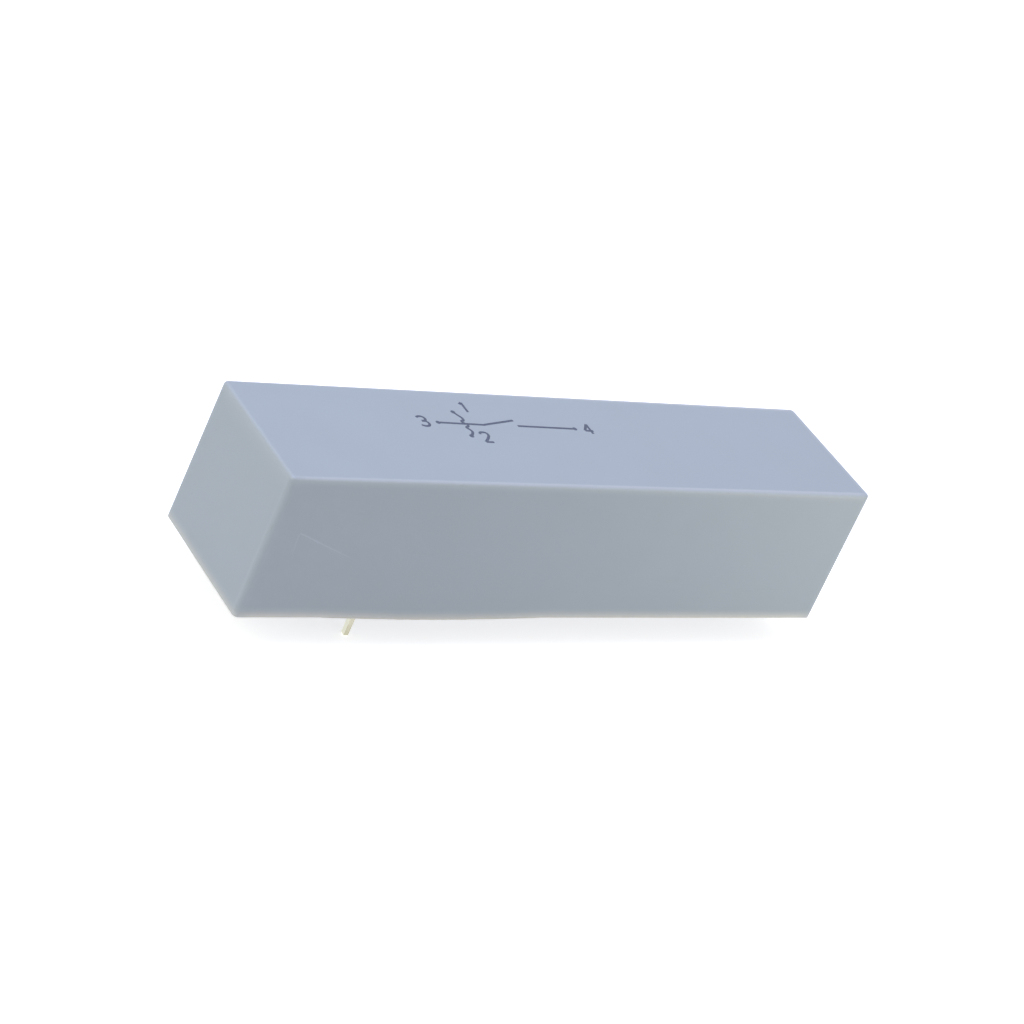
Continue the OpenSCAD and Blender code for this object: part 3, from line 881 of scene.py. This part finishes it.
def rim_flash():
    """A fin with its root in the wall and its edge bowed down, a little unevenly."""
    shape = bmesh.new()
    bmesh.ops.create_grid(
        shape, size=FLASH_THICKNESS / 2, x_segments=FLASH_CELLS[0], y_segments=FLASH_CELLS[1],
        matrix=Matrix.Translation((FLASH_MIDDLE, case_low.y + FLASH_THICKNESS / 2, case_low.z))
        @ Matrix.Diagonal((2 * FLASH_REACH / FLASH_THICKNESS, 1, 1, 1)),
    )
    fin = bmesh.ops.extrude_face_region(shape, geom=shape.faces[:])["geom"]
    for part in fin:
        if isinstance(part, bmesh.types.BMVert):
            swell = 1 - ((part.co.x - FLASH_MIDDLE) / FLASH_REACH) ** 2
            uneven = FLASH_RAGGED * field.noise(part.co / FLASH_SPOT)
            part.co.z -= swell * (FLASH_DROP + uneven) + FLASH_END
    for point in shape.verts:
        if point.co.z == case_low.z:
            point.co.z += FLASH_ROOT
    bmesh.ops.recalc_face_normals(shape, faces=shape.faces)
    return piece("rim_flash", shape, case_finish)


gate_scar()
rim_flash()


# The coil's turns, in place of the plain sleeve, each rounded in RIDGE_STEPS steps

RIDGE_STEPS = 4


def wound_sleeve():
    """A sleeve with one round ridge for each drawn turn."""
    low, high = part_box("coil_winding")
    middle = (low + high) / 2
    turns = round((high.x - low.x) / (TURN_PITCH * MM))
    turn_radius = (high.x - low.x) / turns / 2
    crest_radius = high.z - middle.z - turn_radius
    ridges = [
        (
            low.x + turn_radius * (2 * turn + 1 - math.cos(math.pi * step / RIDGE_STEPS)),
            crest_radius + turn_radius * math.sin(math.pi * step / RIDGE_STEPS),
        )
        for turn in range(turns)
        for step in range(RIDGE_STEPS)
    ]
    profile = [
        (low.x, TUBE_RADIUS), *ridges, (high.x, crest_radius), (high.x, TUBE_RADIUS)
    ]
    return piece("winding_turns", turned(profile, middle), copper_finish)


winding_turns = wound_sleeve()
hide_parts("coil_winding")


# Set: floor, soft light and camera

FLOOR_SIZE = 6.0
FLOOR_GLOW = 0.7
SURROUND_LIGHT = 0.526
LENS_MM = 113.44
SENSOR_MM = 36.0
VIEW_AZIMUTH = math.radians(-42.372)
VIEW_ELEVATION = math.radians(28.472)
VIEW_ROLL = math.radians(24.931)
VIEW_DISTANCE = 298.39 * MM
VIEW_AIM = Vector((-1.596, 0.471, -1.181)) * MM


def seen_ray(tree):
    """1 for a ray from the camera, a reflection or through glass, and 0 for one of light."""
    path = add(tree, "LightPath", {}, out=None)
    mirrored = add(
        tree, "Math", {0: path["Is Glossy Ray"], 1: path["Is Transmission Ray"]},
        operation="MAXIMUM",
    )
    return add(tree, "Math", {0: path["Is Camera Ray"], 1: mirrored}, operation="MAXIMUM")


def studio_paper():
    """Matt white paper: it shows white and keeps the relay's soft shadow, and it is open from
    below, so that the underside can be looked at."""
    made = bpy.data.materials.new("studio_paper")
    made.use_nodes = True
    tree = made.node_tree
    tree.nodes.clear()
    glow = add(tree, "Math", {0: seen_ray(tree), 1: FLOOR_GLOW}, operation="MULTIPLY")
    lit = add(
        tree, "AddShader",
        {
            0: add(tree, "BsdfDiffuse", {"Color": linear("#E4E4E4")}),
            1: add(tree, "Emission", {"Strength": glow}),
        },
    )
    from_below = add(
        tree, "Math",
        {
            0: add(tree, "NewGeometry", {}, out="Backfacing"),
            1: add(tree, "LightPath", {}, out="Is Camera Ray"),
        },
        operation="MULTIPLY",
    )
    shown = add(
        tree, "MixShader", {0: from_below, 1: lit, 2: add(tree, "BsdfTransparent", {})}
    )
    add(tree, "OutputMaterial", {"Surface": shown}, out=None)
    return made


def studio_surround(strength):
    """A plain white surround that lights softly and shows as white."""
    world = bpy.data.worlds.new("studio_surround")
    bpy.context.scene.world = world
    world.use_nodes = True
    tree = world.node_tree
    tree.nodes.clear()
    level = add(tree, "MapRange", {"Value": seen_ray(tree), "To Min": strength, "To Max": 1.0})
    white = add(tree, "Background", {"Color": linear("#FFFFFF"), "Strength": level})
    add(tree, "OutputWorld", {"Surface": white}, out=None)


def soft_lamp(name, offset, size, watts, colour):
    """A square soft box that looks at the case's middle. Its offset from there and its size are
    metres."""
    lamp = bpy.data.lights.new(name, "AREA")
    lamp.shape = "SQUARE"
    lamp.size = size
    lamp.energy = watts
    lamp.color = linear(colour)[:3]
    shown = bpy.data.objects.new(name, lamp)
    bpy.context.scene.collection.objects.link(shown)
    shown.location = case_middle + Vector(offset)
    shown.rotation_mode = "QUATERNION"
    shown.rotation_quaternion = (-Vector(offset)).to_track_quat("-Z", "Y")
    shown.visible_camera = False


def studio_floor():
    """One wide sheet of paper at the height of the terminal tips."""
    shape = bmesh.new()
    bmesh.ops.create_grid(shape, x_segments=1, y_segments=1, size=FLOOR_SIZE / 2)
    mesh = bpy.data.meshes.new("studio_floor")
    shape.to_mesh(mesh)
    shape.free()
    mesh.materials.append(studio_paper())
    floor = bpy.data.objects.new("studio_floor", mesh)
    bpy.context.scene.collection.objects.link(floor)


def studio_camera():
    """A long lens far off, in front, to the left and above, and turned about its line of sight to
    the left.
    """
    back = Vector((
        math.sin(VIEW_AZIMUTH) * math.cos(VIEW_ELEVATION),
        -math.cos(VIEW_AZIMUTH) * math.cos(VIEW_ELEVATION),
        math.sin(VIEW_ELEVATION),
    ))
    lens = bpy.data.cameras.new("camera")
    lens.lens = LENS_MM
    lens.sensor_width = SENSOR_MM
    lens.clip_start = 1 * MM
    camera = bpy.data.objects.new("camera", lens)
    bpy.context.scene.collection.objects.link(camera)
    camera.location = case_middle + VIEW_AIM + back * VIEW_DISTANCE
    camera.rotation_mode = "QUATERNION"
    camera.rotation_quaternion = (
        (-back).to_track_quat("-Z", "Y") @ Quaternion((0, 0, 1), VIEW_ROLL)
    )
    bpy.context.scene.camera = camera


studio_floor()
studio_surround(SURROUND_LIGHT)
soft_lamp("overhead_box", offset=(-0.05, 0.05, 0.6), size=0.5, watts=3.28, colour="#B4BEFF")
soft_lamp("left_box", offset=(-0.6, 0.0, 0.35), size=0.4, watts=1.07, colour="#FFFFE0")
soft_lamp(
    "low_right_box", offset=(0.07, -0.063, -0.001), size=0.018, watts=0.0107, colour="#FFFFE8"
)
studio_camera()
bpy.context.scene.view_settings.view_transform = "Standard"
